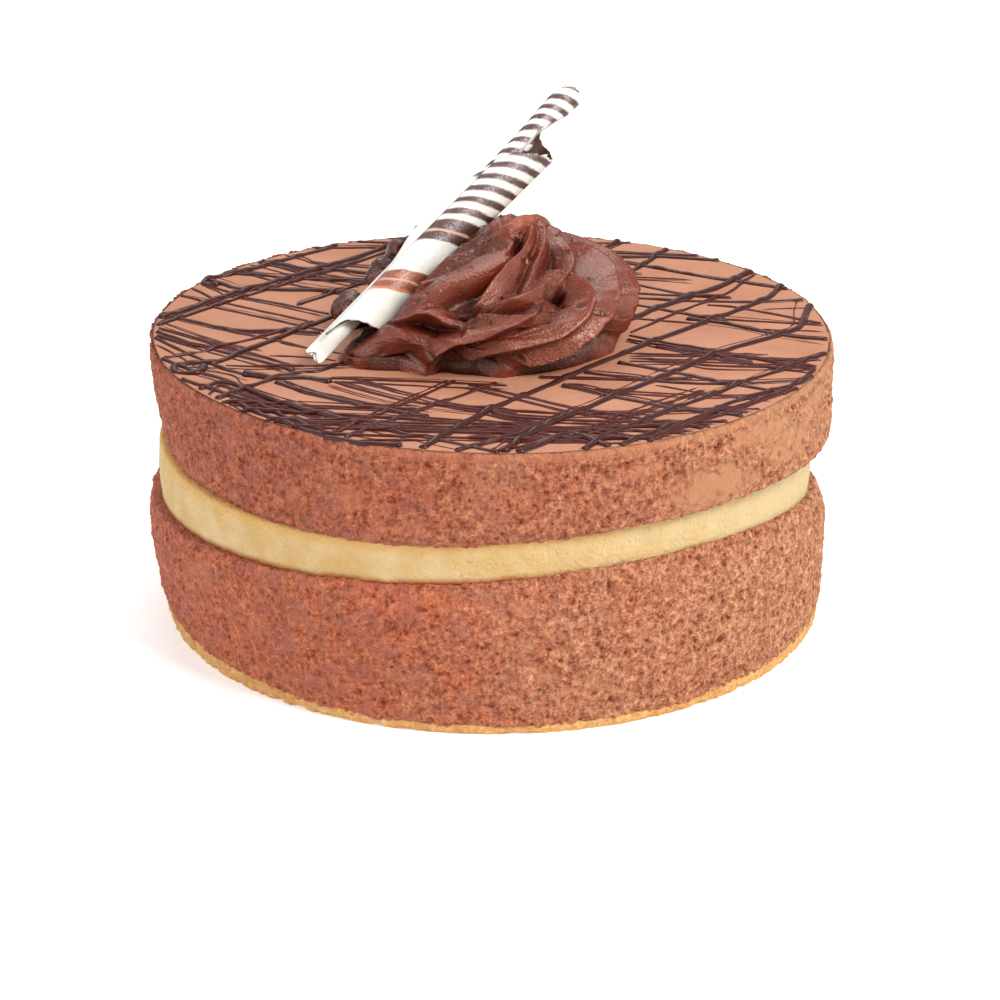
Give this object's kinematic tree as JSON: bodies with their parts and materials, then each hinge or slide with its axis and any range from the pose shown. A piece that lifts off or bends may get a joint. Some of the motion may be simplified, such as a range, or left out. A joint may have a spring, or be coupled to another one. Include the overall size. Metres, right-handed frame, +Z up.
{
  "type": "chocolate mousse cake",
  "caption": "Round layered chocolate mousse cake with sponge bands, a drizzled top, a piped frosting swirl and a rolled striped chocolate scroll.",
  "frame": {"origin": "centre of the flat underside, on the surface that the cake stands on", "axes": "+Z up through the cake; +X to the right and +Y away from the viewer, with the scroll's foot at the front left"},
  "size_m": [0.1537, 0.1516, 0.1092],
  "materials": {
    "base_sponge": "baked golden sponge, dry and crumbly",
    "sponge": "fine pale yellow sponge crumb, matte",
    "mousse": "aerated chocolate mousse, porous and matte",
    "frosting": "soft chocolate frosting with a buttery sheen",
    "striped_chocolate": "ivory white chocolate with dark stripes, dusty sheen",
    "dark_chocolate": "set dark chocolate drizzle, glossy on its crown"
  },
  "bodies": {
    "root": {"base_sponge": "base_sponge", "lower_mousse": "mousse", "middle_sponge": "sponge", "upper_mousse": "mousse", "frosting_swirl": "frosting", "chocolate_scroll": "striped_chocolate"}
  },
  "joints": []
}
